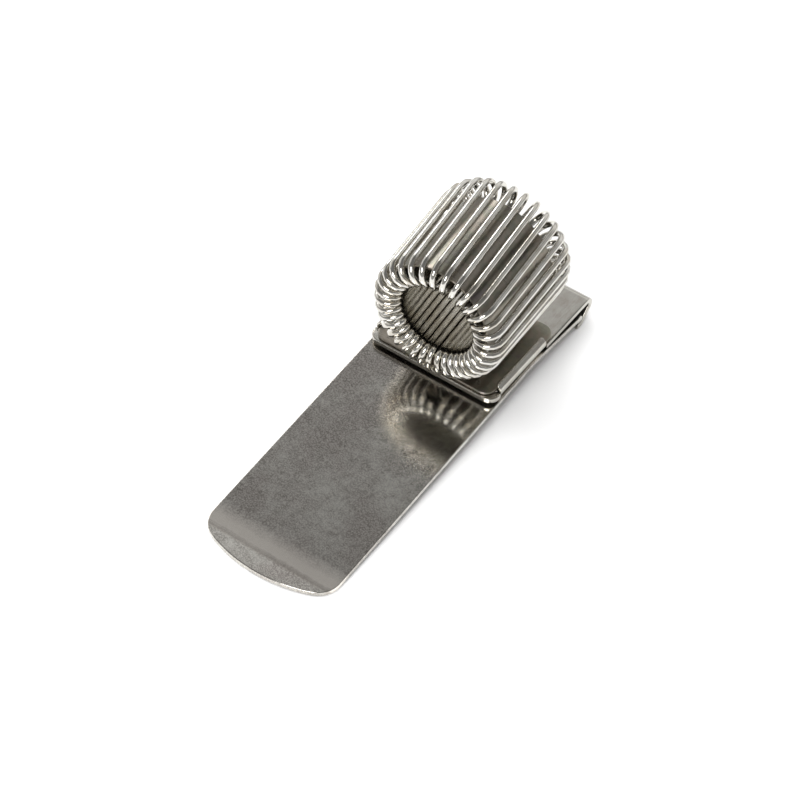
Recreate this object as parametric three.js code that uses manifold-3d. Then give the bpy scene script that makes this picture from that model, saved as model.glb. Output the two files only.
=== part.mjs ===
// Pocket clip with a spring-loop pen holder.
//
// A folded sheet body carries a ring made from a flattened coil spring. A flat
// strap runs round inside the coil, comes out where the coil's two ends meet, and
// its feet are clamped under the hems of the body. A long tongue hooks into the
// curl at the back of the body and swings away from it to take a pocket's edge.
//
// Millimetres, +Z up. X is across the clip, the tongue points along -Y, and the
// clip stands on the tip of its tongue and on the curl at its back.

import * as THREE from 'three';
import { mergeVertices } from 'three/addons/utils/BufferGeometryUtils.js';
import Module from 'manifold-3d';

// ---- driving dimensions ------------------------------------------------------

const WIDTH = 15;                 // body and tongue, across
const SHEET = 0.6;                // body sheet thickness
const GAP = 0.06;                 // between pieces that lie on each other

const PLATE_BACK = 17.5;          // back of the top plate, measured from its front edge
const PLATE_UNDERSIDE = 2.35;     // height of the top plate's underside
const PLATE_CORNER = 1.2;         // front corner radius
const FOLD_RADIUS = 0.65;         // top plate to end wall, on the sheet's middle

const CURL_Y = 15.35;             // curl at the foot of the end wall: the tongue's hinge
const CURL_RADIUS = 0.85;         // on the sheet's middle
const CURL_END = -118;            // degrees, where the curl stops under the tongue

const HEM_FRONT = 1.5;            // where each hem starts and stops
const HEM_BACK = 9.3;
const HEM_SHEET = 0.42;           // the edge is squeezed thinner where it is folded over

const STRAP_THICKNESS = 0.3;
const STRAP_FRONT = 0.2;
const STRAP_BACK = 11.2;
const STRAP_FOOT_HALF = 7.35;     // behind the hems
const STRAP_FOOT_CORNER = 1.3;
const STRAP_HEM_CLEARANCE = 0.15; // lengthwise, behind each hem
const STRAP_LEG_X = 0.27;         // middle of each leg from the middle of the ring
const STRAP_BEND = 0.3;           // where the legs meet the feet and the ring

const TONGUE_SHEET = 0.55;
const TONGUE_CONTACT_Y = 7;       // where the tongue presses against the plate
const TONGUE_TIP = -28.3;
const TONGUE_TIP_FLAT = 2.2;      // length of the tip that is bent up
const TONGUE_TIP_BEND = 5;        // degrees
const TONGUE_TIP_SAG = 1.9;       // how far the tip's outline bows forward
const TONGUE_TIP_CORNER = 2.6;
const TONGUE_TIP_BOW = 0.7;       // share of the tip's width that the bow takes
const TONGUE_TIP_BEND_RADIUS = 6;
const TONGUE_CONTACT_RADIUS = 8;
const TONGUE_BEAD_RADIUS = 0.45;  // rolled end, held in the curl

const WIRE = 0.64;                // coil wire diameter
const TURNS = 34;                 // whole turns, before the last inner leg and its end loop
const COIL_FRONT = -1.65;         // the coil's two ends along Y
const COIL_BACK = 13.35;
const COIL_SECTION = 3.36;        // thickness of one flattened turn, over the wire
const RING_HALF_WIDTH = 5.65;     // ring through the middle of the turns
const RING_HALF_HEIGHT = 5.8;
const RING_SIDE = 0.7;            // the ring stands a little to one side
const RING_HEIGHT = 11.15;        // height of the ring's middle
const RING_YAW = 4;               // degrees, set of the ring on its strap
const RING_PITCH = -1.5;
const RING_FLARE = 0.02;          // growth of the ring's radius per millimetre of length
const NOTCH = 3;                  // degrees left open either side of straight down
const TOP_OPENING = 0.12;         // how much wider the turns stand at the top

// ---- materials -----------------------------------------------------------------

const steel = (color, roughness) =>
	new THREE.MeshStandardMaterial({ color, roughness, metalness: 1 });

const satinSteel = steel(0xa9a59c, 0.3);
const brightSteel = steel(0xbab7ae, 0.22);
const strapSteel = steel(0x8c857c, 0.28);
const springWire = steel(0xcbc8bf, 0.15);

// ---- helpers -------------------------------------------------------------------

const degrees = THREE.MathUtils.degToRad;

const BEYOND = 30;                // past every piece of the clip, for trimming outlines

const wasm = await Module();
wasm.setup();

function toSolid(geometry) {
	const bare = geometry.clone();
	bare.deleteAttribute('normal');
	bare.deleteAttribute('uv');
	const merged = mergeVertices(bare, 1e-4);
	return new wasm.Manifold(new wasm.Mesh({
		numProp: 3,
		vertProperties: merged.attributes.position.array,
		triVerts: merged.index.array,
	}));
}

function toGeometry(solid) {
	const mesh = solid.getMesh();
	const geometry = new THREE.BufferGeometry();
	geometry.setAttribute('position', new THREE.BufferAttribute(mesh.vertProperties, 3));
	geometry.setIndex(new THREE.BufferAttribute(mesh.triVerts, 1));
	geometry.computeVertexNormals();
	return geometry;
}

// Points along a polyline whose corners are rounded; a corner is [x, y, radius].
function roundedLine(corners, stepDegrees = 15) {
	const points = [];
	corners.forEach(([x, y, radius = 0], i) => {
		const corner = new THREE.Vector2(x, y);
		if (radius === 0 || i === 0 || i === corners.length - 1) {
			points.push(corner);
			return;
		}
		const before = new THREE.Vector2(corners[i - 1][0], corners[i - 1][1]);
		const after = new THREE.Vector2(corners[i + 1][0], corners[i + 1][1]);
		points.push(...fillet(before, corner, after, radius, stepDegrees));
	});
	return points;
}

function fillet(before, corner, after, radius, stepDegrees) {
	const arriving = corner.clone().sub(before).normalize();
	const leaving = after.clone().sub(corner).normalize();
	const turn = Math.atan2(arriving.cross(leaving), arriving.dot(leaving));
	const reach = radius * Math.tan(Math.abs(turn) / 2);
	const start = corner.clone().addScaledVector(arriving, -reach);
	const side = Math.sign(turn);
	const centre = start.clone().add(new THREE.Vector2(-arriving.y, arriving.x).multiplyScalar(radius * side));
	const steps = Math.max(1, Math.round(Math.abs(turn) / degrees(stepDegrees)));
	const points = [];
	for (let i = 0; i <= steps; i++) {
		points.push(start.clone().rotateAround(centre, turn * i / steps));
	}
	return points;
}

function arcPoints(x, y, radius, fromDegrees, toDegrees, steps) {
	const points = [];
	for (let i = 0; i <= steps; i++) {
		const a = degrees(fromDegrees + (toDegrees - fromDegrees) * i / steps);
		points.push(new THREE.Vector2(x + radius * Math.cos(a), y + radius * Math.sin(a)));
	}
	return points;
}

// The edge-on outline of a bent sheet, from the line along its middle.
function sheetOutline(middle, thickness) {
	const left = [];
	const right = [];
	middle.forEach((point, i) => {
		const previous = middle[Math.max(i - 1, 0)];
		const next = middle[Math.min(i + 1, middle.length - 1)];
		const normals = [[previous, point], [point, next]]
			.filter(([a, b]) => a !== b)
			.map(([a, b]) => new THREE.Vector2(a.y - b.y, b.x - a.x).normalize());
		const normal = normals.reduce((sum, n) => sum.add(n), new THREE.Vector2()).normalize();
		const reach = thickness / 2 / normal.dot(normals.length > 1 ? segmentNormal(previous, point) : normal);
		left.push(point.clone().addScaledVector(normal, reach));
		right.push(point.clone().addScaledVector(normal, -reach));
	});
	return new THREE.Shape([...left, ...right.reverse()]);
}

function segmentNormal(a, b) {
	return new THREE.Vector2(a.y - b.y, b.x - a.x).normalize();
}

// A profile drawn in (Y, Z), pushed out across the clip's width.
function acrossWidth(shape, width) {
	const geometry = new THREE.ExtrudeGeometry(shape, { depth: width, bevelEnabled: false });
	geometry.translate(0, 0, -width / 2);
	return geometry.applyMatrix4(new THREE.Matrix4().makeBasis(
		new THREE.Vector3(0, 1, 0), new THREE.Vector3(0, 0, 1), new THREE.Vector3(1, 0, 0)));
}

// A profile drawn in (X, Z), pushed out along the clip's length.
function alongLength(shape, front, back) {
	const geometry = new THREE.ExtrudeGeometry(shape, { depth: back - front, bevelEnabled: false });
	geometry.translate(0, 0, -back);
	return geometry.applyMatrix4(new THREE.Matrix4().makeBasis(
		new THREE.Vector3(1, 0, 0), new THREE.Vector3(0, 0, 1), new THREE.Vector3(0, -1, 0)));
}

// A plan outline, pushed up far enough to trim any piece of the clip.
function planPrism(points) {
	const depth = 2 * BEYOND;
	const geometry = new THREE.ExtrudeGeometry(new THREE.Shape(points), { depth, bevelEnabled: false });
	geometry.translate(0, 0, -BEYOND);
	return toSolid(geometry);
}

// ---- clip body -------------------------------------------------------------------

const plateTop = PLATE_UNDERSIDE + SHEET;
const footBottom = plateTop + GAP;
const footTop = footBottom + STRAP_THICKNESS;
const hemHeight = footTop + GAP + HEM_SHEET - PLATE_UNDERSIDE;
const hemRadius = (hemHeight - HEM_SHEET) / 2;
const hemMiddle = PLATE_UNDERSIDE + hemHeight / 2;
const hemSide = (WIDTH - hemHeight) / 2;
const curlZ = CURL_RADIUS + SHEET / 2;

// The fold and the curl are joined by the straight wall that is tangent to both.
function bodyProfile() {
	const middle = PLATE_UNDERSIDE + SHEET / 2;
	const fold = new THREE.Vector2(PLATE_BACK - SHEET / 2 - FOLD_RADIUS, middle - FOLD_RADIUS);
	const apart = fold.clone().sub(new THREE.Vector2(CURL_Y, curlZ));
	const lean = Math.acos((CURL_RADIUS - FOLD_RADIUS) / apart.length());
	const wall = THREE.MathUtils.radToDeg(apart.angle() - lean);
	return sheetOutline([
		new THREE.Vector2(0, middle),
		...arcPoints(fold.x, fold.y, FOLD_RADIUS, 90, wall, 10),
		...arcPoints(CURL_Y, curlZ, CURL_RADIUS, wall, CURL_END, 8),
	], SHEET);
}

function hemProfile(side) {
	const middle = [
		new THREE.Vector2(hemSide - HEM_SHEET, hemMiddle - hemRadius),
		...arcPoints(hemSide, hemMiddle, hemRadius, -90, 90, 8),
	].map(p => new THREE.Vector2(p.x * side, p.y));
	return sheetOutline(side > 0 ? middle : middle.reverse(), HEM_SHEET);
}

function clipBody() {
	const half = WIDTH / 2;
	const outline = roundedLine([
		[0, 0], [half, 0, PLATE_CORNER], [half, BEYOND],
		[-half, BEYOND], [-half, 0, PLATE_CORNER], [0, 0],
	]).slice(0, -1);
	let solid = toSolid(acrossWidth(bodyProfile(), WIDTH)).intersect(planPrism(outline));
	for (const side of [-1, 1]) {
		const strip = [hemSide, half + 1].map(x => x * side).sort((a, b) => a - b);
		const edge = planPrism([
			new THREE.Vector2(strip[0], HEM_FRONT), new THREE.Vector2(strip[1], HEM_FRONT),
			new THREE.Vector2(strip[1], HEM_BACK), new THREE.Vector2(strip[0], HEM_BACK),
		]);
		const hem = toSolid(alongLength(hemProfile(side), HEM_FRONT, HEM_BACK));
		solid = solid.subtract(edge).add(hem);
	}
	return new THREE.Mesh(toGeometry(solid), brightSteel);
}

// ---- pocket tongue -----------------------------------------------------------------

function tongueProfile() {
	const contactTop = PLATE_UNDERSIDE - GAP;
	const contact = contactTop - TONGUE_SHEET / 2;
	const bendY = TONGUE_TIP + TONGUE_TIP_FLAT;
	const bendZ = TONGUE_SHEET / 2;
	const fall = Math.atan2(contact - bendZ, TONGUE_CONTACT_Y - bendY);
	const rise = degrees(TONGUE_TIP_BEND) - fall;
	const middle = roundedLine([
		[TONGUE_TIP - 1, bendZ + Math.tan(rise) * (TONGUE_TIP_FLAT + 1)],
		[bendY, bendZ, TONGUE_TIP_BEND_RADIUS],
		[TONGUE_CONTACT_Y, contact, TONGUE_CONTACT_RADIUS],
		[CURL_Y, curlZ],
	], 3);
	return sheetOutline(middle, TONGUE_SHEET);
}

function tongueOutline() {
	const half = WIDTH / 2;
	const shoulder = TONGUE_TIP + TONGUE_TIP_SAG;
	const bowRadius = (half * half + TONGUE_TIP_SAG * TONGUE_TIP_SAG) / (2 * TONGUE_TIP_SAG);
	const bowAngle = THREE.MathUtils.radToDeg(Math.asin(half / bowRadius)) * TONGUE_TIP_BOW;
	const bow = arcPoints(0, TONGUE_TIP + bowRadius, bowRadius, -90 - bowAngle, -90 + bowAngle, 12);
	const bowEnd = bow.at(-1);
	const corner = [[half, shoulder, TONGUE_TIP_CORNER], [half, BEYOND]];
	const right = roundedLine([[bowEnd.x, bowEnd.y], ...corner], 11).slice(1);
	const left = right.map(p => new THREE.Vector2(-p.x, p.y)).reverse();
	return [...bow, ...right, ...left];
}

function pocketTongue() {
	const bead = new THREE.CylinderGeometry(TONGUE_BEAD_RADIUS, TONGUE_BEAD_RADIUS, WIDTH, 20);
	bead.rotateZ(degrees(90)).translate(0, CURL_Y, curlZ);
	const sheet = toSolid(acrossWidth(tongueProfile(), WIDTH));
	const solid = sheet.add(toSolid(bead)).intersect(planPrism(tongueOutline()));
	return new THREE.Mesh(toGeometry(solid), satinSteel);
}

// ---- core strap ----------------------------------------------------------------------

function strapProfile() {
	const footMiddle = footBottom + STRAP_THICKNESS / 2;
	const legAngle = Math.asin(STRAP_LEG_X / RING_HALF_WIDTH);
	const steps = 48;
	const ring = [];
	for (let i = 0; i <= steps; i++) {
		const a = -Math.PI / 2 + legAngle + (2 * Math.PI - 2 * legAngle) * i / steps;
		const x = RING_SIDE + RING_HALF_WIDTH * Math.cos(a);
		ring.push([x, RING_HEIGHT + RING_HALF_HEIGHT * Math.sin(a), 0]);
	}
	ring[0][2] = STRAP_BEND;
	ring[steps][2] = STRAP_BEND;
	const corners = [
		[STRAP_FOOT_HALF, footMiddle],
		[RING_SIDE + STRAP_LEG_X, footMiddle, STRAP_BEND],
		...ring,
		[RING_SIDE - STRAP_LEG_X, footMiddle, STRAP_BEND],
		[-STRAP_FOOT_HALF, footMiddle],
	];
	return sheetOutline(roundedLine(corners), STRAP_THICKNESS);
}

function coreStrap() {
	const hemInside = WIDTH / 2 - HEM_SHEET - 3 * GAP;
	const behindHem = HEM_BACK + STRAP_HEM_CLEARANCE;
	const half = roundedLine([
		[0, STRAP_FRONT], [hemInside, STRAP_FRONT, PLATE_CORNER], [hemInside, behindHem],
		[STRAP_FOOT_HALF, behindHem], [STRAP_FOOT_HALF, STRAP_BACK, STRAP_FOOT_CORNER], [0, STRAP_BACK],
	]);
	const outline = [...half, ...half.slice(1, -1).map(p => new THREE.Vector2(-p.x, p.y)).reverse()];
	const solid = toSolid(alongLength(strapProfile(), STRAP_FRONT - 1, STRAP_BACK + 1));
	return new THREE.Mesh(toGeometry(solid.intersect(planPrism(outline))), strapSteel);
}

// ---- coil sleeve -----------------------------------------------------------------------

// One wire wound as flattened turns, the row of turns bent round into a ring. It
// starts at the back of an inner leg, and ends in a last loop in front of the strap.
class CoilPath extends THREE.Curve {

	getPoint(t, target = new THREE.Vector3()) {
		const step = INNER_LEG_STEP + t * COIL_STEPS;
		const turn = Math.floor(step / TURN_STEPS);
		const { lift, along, wound } = flattenedTurn(step - turn * TURN_STEPS);
		const progress = (turn + wound - 0.5) / WHOLE_WINDING;
		const spread = progress - TOP_OPENING * Math.sin(2 * Math.PI * progress) / (2 * Math.PI);
		const angle = degrees(-90 + NOTCH + (360 - 2 * NOTCH) * spread);
		const growth = 1 + RING_FLARE * along / RING_HALF_WIDTH;
		const x = Math.cos(angle) * (RING_HALF_WIDTH * growth + lift);
		const z = Math.sin(angle) * (RING_HALF_HEIGHT * growth + lift);
		return target.set(x, along, z);
	}

	// The path is stepped by its parameter, so that every turn gets the same points.
	getPointAt(u, target) {
		return this.getPoint(u, target);
	}

	getTangentAt(u, target) {
		return this.getTangent(u, target);
	}

}

const BEND_STEPS = 5;
const TURN_STEPS = 2 + 2 * BEND_STEPS;
const INNER_LEG_STEP = 1 + BEND_STEPS;
const END_LOOP_STEPS = BEND_STEPS - 1;
const COIL_STEPS = TURNS * TURN_STEPS + 1 + END_LOOP_STEPS;

const bendRadius = (COIL_SECTION - WIRE) / 2;
const legHalf = (COIL_BACK - COIL_FRONT - COIL_SECTION) / 2;
const legShare = 2 * legHalf / (4 * legHalf + 2 * Math.PI * bendRadius);
const END_LOOP_SHARE = (0.5 - legShare) * END_LOOP_STEPS / BEND_STEPS;
const WHOLE_WINDING = TURNS + legShare + END_LOOP_SHARE;

// A place on one turn: how far outward from the ring's middle, how far along its
// axis, and the share of the turn's wire that has been wound by then.
function flattenedTurn(step) {
	const inner = step >= INNER_LEG_STEP;
	const side = inner ? -1 : 1;
	const halfStep = inner ? step - INNER_LEG_STEP : step;
	const before = inner ? 0.5 : 0;
	if (halfStep < 1) {
		return {
			lift: side * bendRadius,
			along: side * legHalf * (2 * halfStep - 1),
			wound: before + legShare * halfStep,
		};
	}
	const share = (halfStep - 1) / BEND_STEPS;
	return {
		lift: side * bendRadius * Math.cos(Math.PI * share),
		along: side * (legHalf + bendRadius * Math.sin(Math.PI * share)),
		wound: before + legShare + (0.5 - legShare) * share,
	};
}

function coilSleeve() {
	const section = new THREE.Shape(arcPoints(0, 0, WIRE / 2, 0, 300, 5));
	const geometry = new THREE.ExtrudeGeometry(section, {
		extrudePath: new CoilPath(),
		steps: COIL_STEPS,
		bevelEnabled: false,
	});
	const mesh = new THREE.Mesh(toGeometry(toSolid(geometry)), springWire);
	mesh.rotation.set(degrees(RING_PITCH), 0, degrees(RING_YAW));
	mesh.position.set(RING_SIDE, (COIL_FRONT + COIL_BACK) / 2, RING_HEIGHT);
	return mesh;
}

// ---- assembly ----------------------------------------------------------------------------

const pieces = {
	clip_body: clipBody(),
	pocket_tongue: pocketTongue(),
	core_strap: coreStrap(),
	coil_sleeve: coilSleeve(),
};

const group = new THREE.Group();
for (const [name, mesh] of Object.entries(pieces)) {
	mesh.name = name;
	group.add(mesh);
}

// The origin is on the ground, under the middle of the clip's length and width.
const box = new THREE.Box3().setFromObject(group, true);
const middle = box.getCenter(new THREE.Vector3());
group.position.set(-middle.x, -middle.y, -box.min.z);

export default group;
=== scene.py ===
# Pocket clip with a spring-loop pen holder: a folded steel body, a long satin tongue
# hooked into its back, a flat strap bent into a ring with its feet under the body's
# hems, and a flattened coil spring wound round that ring.
# +Z up. Shapes are worked out in millimetres from the front edge of the top plate, and
# stand in the scene in metres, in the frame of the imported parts.

import bisect
import math

import bmesh
import bpy
from mathutils import Matrix, Vector


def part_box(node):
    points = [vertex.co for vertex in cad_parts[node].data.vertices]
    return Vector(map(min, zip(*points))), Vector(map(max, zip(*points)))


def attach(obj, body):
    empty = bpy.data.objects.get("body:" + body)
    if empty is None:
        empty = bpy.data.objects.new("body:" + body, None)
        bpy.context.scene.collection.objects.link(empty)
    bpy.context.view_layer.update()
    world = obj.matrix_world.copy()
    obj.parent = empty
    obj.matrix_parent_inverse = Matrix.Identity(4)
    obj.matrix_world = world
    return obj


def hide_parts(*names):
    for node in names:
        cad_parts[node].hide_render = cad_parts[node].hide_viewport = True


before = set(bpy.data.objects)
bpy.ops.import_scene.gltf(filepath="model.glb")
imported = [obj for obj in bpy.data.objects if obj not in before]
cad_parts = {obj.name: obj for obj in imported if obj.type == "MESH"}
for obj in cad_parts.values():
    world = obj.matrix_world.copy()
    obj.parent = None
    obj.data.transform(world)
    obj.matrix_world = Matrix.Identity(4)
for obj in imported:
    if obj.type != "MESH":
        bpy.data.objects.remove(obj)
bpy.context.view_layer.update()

# ---- driving dimensions, in millimetres and degrees ---------------------------------

MM = 0.001

tongue_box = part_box("pocket_tongue")
body_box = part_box("clip_body")
CLIP_ORIGIN = Vector(((tongue_box[0].x + tongue_box[1].x) / 2, body_box[0].y, 0))
HALF_WIDTH = (tongue_box[1].x - tongue_box[0].x) / 2 / MM

SHEET = 0.6
EDGE = 0.11                       # radius of the sheets' deburred edges
SLACK = 0.01                      # where a point must fall surely on one side of a line
GAP = 0.06                        # between pieces that lie on each other

PLATE_BACK = 17.5
PLATE_UNDERSIDE = 2.35
PLATE_CORNER = 1.2
FOLD_RADIUS = 0.65
CURL_Y = 15.35
CURL_RADIUS = 0.85
CURL_END = -118

HEM_FRONT = 1.5
HEM_BACK = 9.3
HEM_SHEET = 0.42
HEM_SLIT = 0.07                   # cut beside each hem, so that it can be folded
HEM_SLIT_REACH = 0.15             # how far the slit goes past the fold
HEM_SQUEEZE = 0.5                 # length of the fold over which the sheet thins
HEM_CORNER = 0.3
HEM_FOLD_STEPS = 16

STRAP_THICKNESS = 0.3
STRAP_EDGE = 0.088
STRAP_FRONT = 0.2
STRAP_BACK = 11.2
STRAP_FOOT_HALF = 7.35
STRAP_FOOT_CORNER = 1.3
STRAP_HEM_CLEARANCE = 0.15
STRAP_LEG_X = 0.27
STRAP_BEND = 0.3

TONGUE_SHEET = 0.55
TONGUE_CONTACT_Y = 7
TONGUE_CONTACT_RADIUS = 8
TONGUE_TIP = -28.3
TONGUE_TIP_FLAT = 2.2
TONGUE_TIP_BEND = 5
TONGUE_TIP_BEND_RADIUS = 6
TONGUE_TIP_SAG = 1.9
TONGUE_TIP_CORNER = 2.6
TONGUE_TIP_BOW = 0.7              # share of the tip's width that the bow takes
TONGUE_BEAD_RADIUS = 0.45

WIRE = 0.64
TURNS = 34
END_LOOP = 0.8                    # share of a bend that the wire ends with, in front of the strap
COIL_FRONT = -1.65
COIL_BACK = 13.35
COIL_SECTION = 3.36
RING_HALF_WIDTH = 5.65
RING_HALF_HEIGHT = 5.8
RING_SIDE = 0.7
RING_HEIGHT = 11.15
RING_YAW = 4
RING_PITCH = -1.5
RING_FLARE = 0.02
NOTCH = 3
TOP_OPENING = 0.12
POINTS_PER_TURN = 56
WIRE_SIDES = 14
WIRE_CUT = 0.3                    # rounding of the wire's cut ends, as a share of its radius

plate_top = PLATE_UNDERSIDE + SHEET
plate_middle = PLATE_UNDERSIDE + SHEET / 2
foot_bottom = plate_top + GAP
hem_height = foot_bottom + STRAP_THICKNESS + GAP + HEM_SHEET - PLATE_UNDERSIDE
hem_middle = PLATE_UNDERSIDE + hem_height / 2
hem_side = HALF_WIDTH - hem_height / 2
hem_radius = (hem_height - HEM_SHEET) / 2
curl_height = CURL_RADIUS + SHEET / 2


# ---- lines and outlines --------------------------------------------------------------

def arc(centre, radius, start, end, step=4):
    """Points round an arc, from one angle to another, in degrees."""
    count = max(1, round(abs(end - start) / step))
    angles = [math.radians(start + (end - start) * i / count) for i in range(count + 1)]
    return [Vector((centre[0] + radius * math.cos(a), centre[1] + radius * math.sin(a))) for a in angles]


def rounded(corners, step=4):
    """A line through corners, each (x, y) or (x, y, radius of its rounding)."""
    points = []
    for i, corner in enumerate(corners):
        here = Vector(corner[:2])
        radius = corner[2] if len(corner) > 2 else 0
        if not radius:
            points.append(here)
            continue
        before = Vector(corners[i - 1][:2])
        after = Vector(corners[(i + 1) % len(corners)][:2])
        arriving = (here - before).normalized()
        leaving = (after - here).normalized()
        turn = math.atan2(arriving.cross(leaving), arriving.dot(leaving))
        start = here - arriving * radius * math.tan(abs(turn) / 2)
        centre = start + left_of(arriving) * math.copysign(radius, turn)
        angle = math.degrees(math.atan2(start.y - centre.y, start.x - centre.x))
        points += arc(centre, radius, angle, angle + math.degrees(turn), step)
    return points


def left_of(direction):
    return Vector((-direction.y, direction.x))


def mirrored(half):
    """A closed outline from its right half, whose first and last points lie on the middle."""
    return half + [Vector((-p.x, p.y)) for p in reversed(half[1:-1])]


class Route:
    """The line that a sheet is bent along, seen from the side."""

    def __init__(self, points):
        self.points = points
        self.reach = [0]
        for a, b in zip(points, points[1:]):
            self.reach.append(self.reach[-1] + (b - a).length)
        runs = [(b - a).normalized() for a, b in zip(points, points[1:])]
        joins = [(a + b).normalized() for a, b in zip(runs, runs[1:])]
        self.facing = [left_of(run) for run in [runs[0], *joins, runs[-1]]]

    def at(self, distance):
        """The place and the sheet's facing at a distance along the line."""
        i = min(max(bisect.bisect(self.reach, distance), 1), len(self.points) - 1)
        share = (distance - self.reach[i - 1]) / (self.reach[i] - self.reach[i - 1])
        place = self.points[i - 1].lerp(self.points[i], share)
        facing = self.facing[i - 1].lerp(self.facing[i], min(max(share, 0), 1))
        return place, facing.normalized()


# ---- sheet metal ---------------------------------------------------------------------

def blank(outline, sheet, edge=EDGE):
    """A flat plate cut to an outline that runs anticlockwise, with rounded edges."""
    count = len(outline)
    inward = []
    for i, here in enumerate(outline):
        before = left_of((here - outline[i - 1]).normalized())
        after = left_of((outline[(i + 1) % count] - here).normalized())
        middle = (before + after).normalized()
        inward.append(middle / max(middle.dot(before), 0.5))
    rounding = [math.radians(angle) for angle in (90, 60, 30, 0)]
    lower = [(edge * (1 - math.cos(a)), -sheet / 2 + edge * (1 - math.sin(a))) for a in rounding]
    levels = lower + [(inset, -height) for inset, height in reversed(lower)]
    plate = bmesh.new()
    rings = []
    for inset, height in levels:
        places = [here + push * inset for here, push in zip(outline, inward)]
        rings.append([plate.verts.new((p.x, p.y, height)) for p in places])
    for below, above in zip(rings, rings[1:]):
        for i in range(count):
            j = (i + 1) % count
            plate.faces.new((below[i], below[j], above[j], above[i]))
    plate.faces.new(reversed(rings[0]))
    plate.faces.new(rings[-1])
    return plate


def score(plate, axis, places):
    """Cuts a plate's faces across at places along an axis, so that it can be bent there."""
    for place in places:
        across = Vector((0, 0, 0))
        across[axis] = 1
        faces = plate.verts[:] + plate.edges[:] + plate.faces[:]
        bmesh.ops.bisect_plane(plate, geom=faces, dist=1e-5, plane_co=across * place, plane_no=across)


def bend(plate, shape):
    """Moves every point of a plate to where the bending takes it."""
    for point in plate.verts:
        point.co = shape(*point.co)


def piece(name, body, node, made, finish):
    """Turns a made shape into the piece that stands for a CAD node."""
    bmesh.ops.recalc_face_normals(made, faces=made.faces)
    made.transform(Matrix.Scale(MM, 4))
    mesh = bpy.data.meshes.new(name)
    made.to_mesh(mesh)
    made.free()
    mesh.polygons.foreach_set("use_smooth", [True] * len(mesh.polygons))
    mesh.materials.append(finish)
    thing = bpy.data.objects.new(name, mesh)
    bpy.context.scene.collection.objects.link(thing)
    thing.location = CLIP_ORIGIN
    normals = thing.modifiers.new("even shading", "WEIGHTED_NORMAL")
    normals.weight = 80
    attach(thing, body)
    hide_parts(node)
    return thing


# ---- clip body -----------------------------------------------------------------------

def body_route():
    """Top plate, rear fold, slanted wall and the curl under the tongue's rolled end."""
    fold = Vector((PLATE_BACK - SHEET / 2 - FOLD_RADIUS, plate_middle - FOLD_RADIUS))
    curl = Vector((CURL_Y, curl_height))
    apart = fold - curl
    lean = math.degrees(math.acos((CURL_RADIUS - FOLD_RADIUS) / apart.length))
    wall = math.degrees(math.atan2(apart.y, apart.x)) - lean
    front = Vector((0, plate_middle))
    return Route([front, *arc(fold, FOLD_RADIUS, 90, wall), *arc(curl, CURL_RADIUS, wall, CURL_END)])


def clip_body(finish):
    route = body_route()
    tab = hem_side + math.pi * hem_radius
    slit = hem_side - HEM_SLIT_REACH
    half = rounded([
        (0, 0), (HALF_WIDTH, 0, PLATE_CORNER),
        (HALF_WIDTH, HEM_FRONT - HEM_SLIT), (slit, HEM_FRONT - HEM_SLIT), (slit, HEM_FRONT),
        (tab, HEM_FRONT, HEM_CORNER), (tab, HEM_BACK, HEM_CORNER),
        (slit, HEM_BACK), (slit, HEM_BACK + HEM_SLIT), (HALF_WIDTH, HEM_BACK + HEM_SLIT),
        (HALF_WIDTH, route.reach[-1]), (0, route.reach[-1]),
    ], 10)
    plate = blank(mirrored(half), SHEET)
    score(plate, 1, route.reach[1:-1])
    folds = [hem_side + (tab - hem_side) * i / HEM_FOLD_STEPS for i in range(HEM_FOLD_STEPS)]
    score(plate, 0, folds + [-x for x in folds])

    def shape(x, y, height):
        if HEM_FRONT - SLACK < y < HEM_BACK + SLACK and abs(x) > hem_side:
            past = abs(x) - hem_side
            thin = min(past / HEM_SQUEEZE, 1)
            sheet = SHEET + (HEM_SHEET - SHEET) * thin * thin * (3 - 2 * thin)
            turn = past / hem_radius
            reach = hem_height / 2 - sheet / 2 - height * sheet / SHEET
            side = hem_side + reach * math.sin(turn)
            return Vector((math.copysign(side, x), y, hem_middle - reach * math.cos(turn)))
        place, facing = route.at(y)
        return Vector((x, place.x + facing.x * height, place.y + facing.y * height))

    bend(plate, shape)
    return piece("body_sheet", "clip", "clip_body", plate, finish)


# ---- pocket tongue -------------------------------------------------------------------

def tongue_route():
    """From the bent tip, up to where it touches the plate, and down to the rolled end."""
    contact = PLATE_UNDERSIDE - GAP - TONGUE_SHEET / 2
    bend_y = TONGUE_TIP + TONGUE_TIP_FLAT
    bend_z = TONGUE_SHEET / 2
    fall = math.atan2(contact - bend_z, TONGUE_CONTACT_Y - bend_y)
    rise = math.radians(TONGUE_TIP_BEND) - fall
    return Route(rounded([
        (TONGUE_TIP, bend_z + math.tan(rise) * TONGUE_TIP_FLAT),
        (bend_y, bend_z, TONGUE_TIP_BEND_RADIUS),
        (TONGUE_CONTACT_Y, contact, TONGUE_CONTACT_RADIUS),
        (CURL_Y, curl_height),
    ], 0.5))


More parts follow.
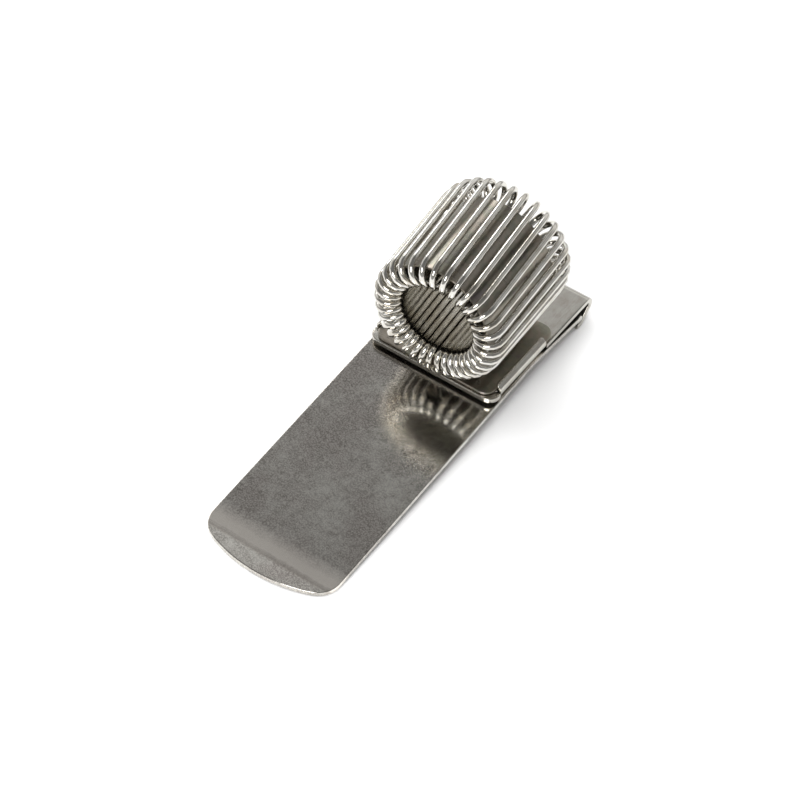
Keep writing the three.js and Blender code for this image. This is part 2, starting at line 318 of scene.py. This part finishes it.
def pocket_tongue(finish):
    route = tongue_route()
    bead = route.reach[-1]
    bow_radius = (HALF_WIDTH ** 2 + TONGUE_TIP_SAG ** 2) / (2 * TONGUE_TIP_SAG)
    bow_half = math.degrees(math.asin(HALF_WIDTH / bow_radius)) * TONGUE_TIP_BOW
    bow = arc((0, bow_radius), bow_radius, -90, -90 + bow_half, 1.5)
    half = bow[:-1] + rounded([
        (*bow[-1],), (HALF_WIDTH, TONGUE_TIP_SAG, TONGUE_TIP_CORNER),
        (HALF_WIDTH, bead + TONGUE_BEAD_RADIUS - SLACK), (0, bead + TONGUE_BEAD_RADIUS - SLACK),
    ])
    plate = blank(mirrored(half), TONGUE_SHEET)
    roll = [bead + TONGUE_BEAD_RADIUS * math.sin(math.radians(a)) for a in range(-80, 81, 8)]
    score(plate, 1, route.reach[1:-1] + roll)

    def swell(y):
        """How much thicker than the sheet the rolled end is."""
        past = abs(y - bead)
        if past >= TONGUE_BEAD_RADIUS:
            return 1
        roundness = math.sqrt(TONGUE_BEAD_RADIUS ** 2 - past ** 2) / (TONGUE_SHEET / 2)
        return max(1, roundness) if y < bead else roundness

    def shape(x, y, height):
        place, facing = route.at(y)
        lift = height * swell(y)
        return Vector((x, place.x + facing.x * lift, place.y + facing.y * lift))

    bend(plate, shape)
    return piece("tongue_sheet", "tongue", "pocket_tongue", plate, finish)


# ---- core strap ----------------------------------------------------------------------

def strap_route():
    """In along one foot, up a leg, round the ring, down the other leg and out."""
    foot = foot_bottom + STRAP_THICKNESS / 2
    leg_angle = math.degrees(math.asin(STRAP_LEG_X / RING_HALF_WIDTH))
    ring = [(RING_SIDE + p.x * RING_HALF_WIDTH, RING_HEIGHT + p.y * RING_HALF_HEIGHT)
            for p in arc((0, 0), 1, -90 + leg_angle, 270 - leg_angle)]
    return Route(rounded([
        (STRAP_FOOT_HALF, foot),
        (RING_SIDE + STRAP_LEG_X, foot, STRAP_BEND),
        (*ring[0], STRAP_BEND), *ring[1:-1], (*ring[-1], STRAP_BEND),
        (RING_SIDE - STRAP_LEG_X, foot, STRAP_BEND),
        (-STRAP_FOOT_HALF, foot),
    ], 15))


def core_strap(finish):
    route = strap_route()
    far = route.reach[-1]
    under_hem = STRAP_FOOT_HALF - (HALF_WIDTH - HEM_SHEET - 3 * GAP)
    behind_hem = HEM_BACK + STRAP_HEM_CLEARANCE
    outline = rounded([
        (STRAP_FRONT, under_hem, PLATE_CORNER), (behind_hem, under_hem), (behind_hem, 0),
        (STRAP_BACK, 0, STRAP_FOOT_CORNER), (STRAP_BACK, far, STRAP_FOOT_CORNER),
        (behind_hem, far), (behind_hem, far - under_hem), (STRAP_FRONT, far - under_hem, PLATE_CORNER),
    ], 10)
    plate = blank(outline, STRAP_THICKNESS, STRAP_EDGE)
    score(plate, 1, route.reach[1:-1])

    def shape(y, along, height):
        place, facing = route.at(along)
        return Vector((place.x + facing.x * height, y, place.y + facing.y * height))

    bend(plate, shape)
    return piece("strap_ring", "clip", "core_strap", plate, finish)


# ---- coil sleeve ---------------------------------------------------------------------

def flattened_turn(share):
    """A place on one turn, by the share of its wire: how far out from the ring, how far along."""
    bend_radius = (COIL_SECTION - WIRE) / 2
    leg_half = (COIL_BACK - COIL_FRONT - COIL_SECTION) / 2
    leg_share = leg_half / (2 * leg_half + math.pi * bend_radius)
    side = 1 if share < 0.5 else -1
    wound = share % 0.5
    if wound < leg_share:
        return side * bend_radius, side * leg_half * (2 * wound / leg_share - 1)
    angle = math.pi * (wound - leg_share) / (0.5 - leg_share)
    return side * bend_radius * math.cos(angle), side * (leg_half + bend_radius * math.sin(angle))


def coil_line():
    """The wire's middle line: one turn after another, the row bent round into a ring."""
    leg = COIL_BACK - COIL_FRONT - COIL_SECTION
    leg_share = leg / (2 * leg + math.pi * (COIL_SECTION - WIRE))
    winding = TURNS + leg_share + (0.5 - leg_share) * END_LOOP
    set_on_strap = Matrix.Rotation(math.radians(RING_PITCH), 3, "X") \
        @ Matrix.Rotation(math.radians(RING_YAW), 3, "Z")
    middle = Vector((RING_SIDE, (COIL_FRONT + COIL_BACK) / 2, RING_HEIGHT))
    count = round(winding * POINTS_PER_TURN)
    points = []
    for i in range(count + 1):
        progress = i / count
        lift, along = flattened_turn((0.5 + progress * winding) % 1)
        spread = progress - TOP_OPENING * math.sin(2 * math.pi * progress) / (2 * math.pi)
        angle = math.radians(-90 + NOTCH + (360 - 2 * NOTCH) * spread)
        growth = 1 + RING_FLARE * along / RING_HALF_WIDTH
        x = math.cos(angle) * (RING_HALF_WIDTH * growth + lift)
        z = math.sin(angle) * (RING_HALF_HEIGHT * growth + lift)
        points.append(set_on_strap @ Vector((x, along, z)) + middle)
    return points


def drawn_wire(points, radius):
    """A round wire along a line of points, its cut ends slightly rounded."""
    wire = bmesh.new()
    runs = [(b - a).normalized() for a, b in zip(points, points[1:])]
    runs = [runs[0], *[(a + b).normalized() for a, b in zip(runs, runs[1:])], runs[-1]]
    cut = radius * WIRE_CUT
    stations = [(points[0], runs[0], radius - cut)]
    stations.append((points[0] + runs[0] * cut, runs[0], radius))
    stations += [(point, run, radius) for point, run in list(zip(points, runs))[1:-1]]
    stations.append((points[-1] - runs[-1] * cut, runs[-1], radius))
    stations.append((points[-1], runs[-1], radius - cut))
    side = runs[0].orthogonal().normalized()
    rings = []
    for place, run, reach in stations:
        side = (side - run * side.dot(run)).normalized()
        up = run.cross(side)
        turns = [2 * math.pi * k / WIRE_SIDES for k in range(WIRE_SIDES)]
        round_it = [side * math.cos(t) + up * math.sin(t) for t in turns]
        rings.append([wire.verts.new(place + out * reach) for out in round_it])
    for near, far in zip(rings, rings[1:]):
        for i in range(WIRE_SIDES):
            j = (i + 1) % WIRE_SIDES
            wire.faces.new((near[i], near[j], far[j], far[i]))
    wire.faces.new(reversed(rings[0]))
    wire.faces.new(rings[-1])
    return wire


def coil_sleeve(finish):
    wire = drawn_wire(coil_line(), WIRE / 2)
    return piece("coil_wire", "clip", "coil_sleeve", wire, finish)


# ---- finishes ------------------------------------------------------------------------

class Value:
    """A number from a node, so that sums on it can be written as ordinary ones."""

    def __init__(self, nodes, socket):
        self.nodes = nodes
        self.socket = socket

    def maths(self, operation, first, second):
        return self.nodes.node("ShaderNodeMath", {"operation": operation}, {0: first, 1: second})

    def __add__(self, other):
        return self.maths("ADD", self, other)

    __radd__ = __add__

    def __sub__(self, other):
        return self.maths("SUBTRACT", self, other)

    def __rsub__(self, other):
        return self.maths("SUBTRACT", other, self)

    def __mul__(self, other):
        return self.maths("MULTIPLY", self, other)

    __rmul__ = __mul__


class Nodes:
    """A tree of nodes, and the ways of adding to it."""

    def __init__(self, tree):
        self.tree = tree

    def node(self, kind, settings, sockets, output=0):
        """Adds a node, with its settings made first, and gives one of its outputs."""
        made = self.tree.nodes.new(kind)
        stops = settings.get("stops")
        for name, value in settings.items():
            if name != "stops":
                setattr(made, name, value)
        if stops:
            ramp = made.color_ramp
            for _ in stops[2:]:
                ramp.elements.new(0.5)
            for element, (position, colour) in zip(ramp.elements, stops):
                element.position = position
                element.color = (*colour, 1)
        for name, value in sockets.items():
            if isinstance(value, Value):
                self.tree.links.new(value.socket, made.inputs[name])
            else:
                made.inputs[name].default_value = value
        return Value(self, made.outputs[output])

    def ramp(self, value, *stops):
        """A grey level for each value, between stops (value, level)."""
        stops = [(position, (level, level, level)) for position, level in stops]
        return self.node("ShaderNodeValToRGB", {"stops": stops}, {0: value})

    def span(self, value, *stops):
        """A grey level for each value, between stops (value, level) that can lie anywhere."""
        low, high = stops[0][0], stops[-1][0]
        inside = (value - low) * (1 / (high - low))
        return self.ramp(inside, *[((at - low) / (high - low), level) for at, level in stops])

    def blend(self, factor, first, second):
        colours = [(*c, 1) if isinstance(c, tuple) else c for c in (first, second)]
        settings = {"data_type": "RGBA"}
        return self.node("ShaderNodeMix", settings, {0: factor, 6: colours[0], 7: colours[1]}, 2)


class Surface(Nodes):
    """One metal finish: its nodes and the shader that they feed."""

    def __init__(self, name):
        self.material = bpy.data.materials.new(name)
        self.material.use_nodes = True
        super().__init__(self.material.node_tree)
        self.shader = self.tree.nodes["Principled BSDF"]
        self.shader.inputs["Metallic"].default_value = 1
        self.place = self.node("ShaderNodeTexCoord", {}, {}, "Object")

    def stretched(self, x, y, z):
        """The place on the piece in millimetres, stretched by a factor along each axis."""
        factors = Vector((x, y, z)) / MM
        return self.node("ShaderNodeVectorMath", {"operation": "MULTIPLY"}, {0: self.place, 1: factors})

    def noise(self, place, scale, detail=3, roughness=0.55):
        sockets = {"Vector": place, "Scale": scale, "Detail": detail, "Roughness": roughness}
        return self.node("ShaderNodeTexNoise", {}, sockets)

    def bump(self, height, depth):
        """Relief from a height of 0 to 1, its depth in millimetres."""
        return self.node("ShaderNodeBump", {}, {"Height": height, "Distance": depth * MM, "Strength": 1})

    def feed(self, **sockets):
        for name, value in sockets.items():
            self.tree.links.new(value.socket, self.shader.inputs[name.replace("_", " ")])
        return self.material


def satin_tongue():
    """Rolled sheet with a fine grain and cloudy patches, a painted highlight as a paler band along its
    tip's bend, and painted shade as a darker line in that bend's crease.
    """
    steel = Surface("satin tongue steel")
    round_place = steel.stretched(1, 1, 1)
    clouds = steel.noise(round_place, 0.2, 4)
    mottle = steel.noise(round_place, 1.1, 5, 0.7)
    grain = steel.noise(round_place, 6.5, 2, 0.7)
    patches = steel.ramp(clouds, (0.4, 0), (0.62, 1))
    colour = steel.blend(patches, (0.40, 0.365, 0.34), (0.61, 0.60, 0.555))
    speckle = steel.ramp(mottle, (0.4, 0), (0.62, 1))
    colour = steel.blend(speckle * 0.65, colour, (0.27, 0.25, 0.225))
    colour = steel.blend(steel.ramp(grain, (0.42, 0), (0.6, 1)) * 0.65, colour, (0.80, 0.77, 0.71))
    along = steel.node("ShaderNodeSeparateXYZ", {}, {0: round_place}, "Y")
    bend = TONGUE_TIP + TONGUE_TIP_FLAT
    # Painted highlight: a paler band just past the tip's bend, standing for the sheen that the bent sheet
    # catches.
    painted_bend_highlight_stops = [(bend + 0.1, 0), (bend + 0.8, 1), (bend + 1.6, 0.9), (bend + 3.2, 0)]
    painted_bend_highlight = steel.span(along + mottle * 0.8, *painted_bend_highlight_stops)
    colour = steel.blend(painted_bend_highlight * 0.95, colour, (1.0, 0.94, 0.86))
    # Painted shade: a darker line along the crease of the tip's bend.
    painted_crease_shade = steel.span(along + mottle * 0.2, (bend - 0.35, 0), (bend, 1), (bend + 0.45, 0))
    colour = steel.blend(painted_crease_shade * 0.5, colour, (0.30, 0.265, 0.23))
    roughness = 0.09 + clouds * 0.06 + grain * 0.05
    relief = steel.bump(mottle * 0.65 + grain * 0.35, 0.0025)
    return steel.feed(Base_Color=colour, Roughness=roughness, Normal=relief)


def bright_body():
    """Bright rolled sheet, slightly streaked along the clip, with brown stains in places."""
    steel = Surface("bright body steel")
    round_place = steel.stretched(1, 1, 1)
    streak_place = steel.stretched(3, 0.3, 1)
    stains = steel.noise(round_place, 0.7, 4, 0.6)
    streaks = steel.noise(streak_place, 2.2, 3, 0.6)
    stained = steel.ramp(stains, (0.45, 0), (0.7, 1))
    colour = steel.blend(stained * 0.6, (0.49, 0.475, 0.43), (0.35, 0.30, 0.26))
    colour = steel.blend(steel.ramp(streaks, (0.35, 0), (0.7, 1)) * 0.3, colour, (0.68, 0.66, 0.62))
    roughness = 0.13 + stains * 0.1 + streaks * 0.06
    relief = steel.bump(streaks * 0.6 + stains * 0.4, 0.004)
    return steel.feed(Base_Color=colour, Roughness=roughness, Normal=relief)


def brown_strap_with_painted_shade():
    """Rolled strap in dark brown, partly its own tone varying at random and partly painted shade for the
    ring inside the coil, with rolling lines along its length.
    """
    steel = Surface("brown strap steel with painted shade")
    round_place = steel.stretched(1, 1, 1)
    line_place = steel.stretched(0.5, 4, 0.5)
    brown_tone = steel.noise(round_place, 0.55, 3, 0.6)
    lines = steel.noise(line_place, 2.5, 3, 0.6)
    # Dark brown levels: partly the strap's own brown tone, partly painted shade for where the ring lies
    # inside the coil.
    stops = [(0.3, (0.24, 0.225, 0.195)), (0.45, (0.31, 0.27, 0.225)),
             (0.55, (0.24, 0.24, 0.19)), (0.72, (0.22, 0.19, 0.19))]
    colour = steel.node("ShaderNodeValToRGB", {"stops": stops}, {0: brown_tone})
    colour = steel.blend(steel.ramp(lines, (0.35, 0), (0.75, 1)) * 0.3, colour, (0.42, 0.40, 0.36))
    roughness = 0.2 + brown_tone * 0.12 + lines * 0.08
    relief = steel.bump(lines, 0.004)
    return steel.feed(Base_Color=colour, Roughness=roughness, Normal=relief)


def bright_wire():
    """Drawn spring wire, polished, with faint drawing lines and a slightly warm cast."""
    steel = Surface("bright spring wire")
    round_place = steel.stretched(1, 1, 1)
    line_place = steel.stretched(5, 0.4, 5)
    cast = steel.noise(round_place, 0.5, 2)
    lines = steel.noise(line_place, 2.5, 2, 0.6)
    colour = steel.blend(steel.ramp(cast, (0.4, 0), (0.65, 1)), (0.64, 0.625, 0.585), (0.53, 0.50, 0.44))
    colour = steel.blend(steel.ramp(lines, (0.5, 0), (0.8, 1)) * 0.35, colour, (0.38, 0.355, 0.32))
    roughness = 0.07 + lines * 0.09
    relief = steel.bump(lines, 0.003)
    return steel.feed(Base_Color=colour, Roughness=roughness, Normal=relief)


# ---- studio --------------------------------------------------------------------------

# Camera: angles in degrees, distance and lens in millimetres.
VIEW_AZIMUTH = 35.44
VIEW_ELEVATION = 49.58
VIEW_ROLL = 0.45
VIEW_DISTANCE = 317.4
VIEW_TARGET = CLIP_ORIGIN + Vector((-1.44, -2.86, 0)) * MM
LENS = 146.1
SENSOR = 36
FLOOR_HALF = 1.5                  # metres
BACKDROP = Vector((-0.55, 0.83, 0))


def camera():
    azimuth, elevation = math.radians(VIEW_AZIMUTH), math.radians(VIEW_ELEVATION)
    level = math.cos(elevation)
    back = Vector((math.sin(azimuth) * level, -math.cos(azimuth) * level, math.sin(elevation)))
    data = bpy.data.cameras.new("camera")
    data.lens = LENS
    data.sensor_width = SENSOR
    data.clip_start = 0.01
    data.clip_end = 20
    eye = bpy.data.objects.new("camera", data)
    aim = (-back).to_track_quat("-Z", "Y").to_matrix()
    turn = aim @ Matrix.Rotation(math.radians(VIEW_ROLL), 3, "Z")
    eye.matrix_world = Matrix.Translation(VIEW_TARGET + back * VIEW_DISTANCE * MM) @ turn.to_4x4()
    bpy.context.scene.collection.objects.link(eye)
    bpy.context.scene.camera = eye


def pale_floor():
    made = bmesh.new()
    bmesh.ops.create_grid(made, x_segments=2, y_segments=2, size=FLOOR_HALF)
    mesh = bpy.data.meshes.new("floor")
    made.to_mesh(mesh)
    made.free()
    floor = bpy.data.objects.new("floor", mesh)
    bpy.context.scene.collection.objects.link(floor)
    paint = bpy.data.materials.new("pale floor")
    paint.use_nodes = True
    shader = paint.node_tree.nodes["Principled BSDF"]
    shader.inputs["Base Color"].default_value = (0.95, 0.95, 0.95, 1)
    shader.inputs["Roughness"].default_value = 0.9
    shader.inputs["Specular IOR Level"].default_value = 0.1
    mesh.materials.append(paint)


def softbox(name, azimuth, elevation, distance, size, power):
    """A square panel of light that faces the clip: its bearing in degrees, the rest in metres and watts."""
    a, e = math.radians(azimuth), math.radians(elevation)
    towards = Vector((math.sin(a) * math.cos(e), math.cos(a) * math.cos(e), math.sin(e)))
    data = bpy.data.lights.new(name, "AREA")
    data.size = size
    data.energy = power
    panel = bpy.data.objects.new(name, data)
    panel.location = towards * distance
    panel.rotation_mode = "QUATERNION"
    panel.rotation_quaternion = towards.to_track_quat("Z", "Y")
    bpy.context.scene.collection.objects.link(panel)
    return panel


def sky():
    """A plain room for the steel to mirror: a white backdrop behind, grey sides and ceiling."""
    world = bpy.data.worlds.new("pale room")
    bpy.context.scene.world = world
    world.use_nodes = True
    room = Nodes(world.node_tree)
    direction = room.node("ShaderNodeTexCoord", {}, {}, "Generated")
    height = room.node("ShaderNodeSeparateXYZ", {}, {0: direction}, "Z")
    settings = {"operation": "DOT_PRODUCT"}
    towards = room.node("ShaderNodeVectorMath", settings, {0: direction, 1: BACKDROP}, "Value")
    behind = room.ramp(towards, (0.05, 0), (0.5, 1))
    white_stops = [(0.0, 0.5), (0.2, 0.5), (0.32, 1), (0.6, 1), (0.71, 0.85), (0.79, 0.36), (0.9, 0.2)]
    white = room.ramp(height, *white_stops)
    grey = room.ramp(height, (0.0, 0.45), (0.35, 0.35), (0.7, 0.22), (0.9, 0.2))
    background = room.tree.nodes["Background"]
    room.tree.links.new(room.blend(behind, grey, white).socket, background.inputs["Color"])


def studio():
    camera()
    pale_floor()
    sky()
    key = softbox("key panel", azimuth=-75, elevation=70, distance=0.8, size=0.8, power=6.2)
    key.visible_glossy = False
    softbox("front panel", azimuth=172, elevation=42, distance=0.9, size=0.42, power=5)
    softbox("edge panel", azimuth=-51, elevation=33, distance=1, size=0.2, power=0.8)
    bpy.context.scene.view_settings.view_transform = "Standard"


# ---- the clip ------------------------------------------------------------------------

studio()
clip_body(bright_body())
pocket_tongue(satin_tongue())
core_strap(brown_strap_with_painted_shade())
coil_sleeve(bright_wire())
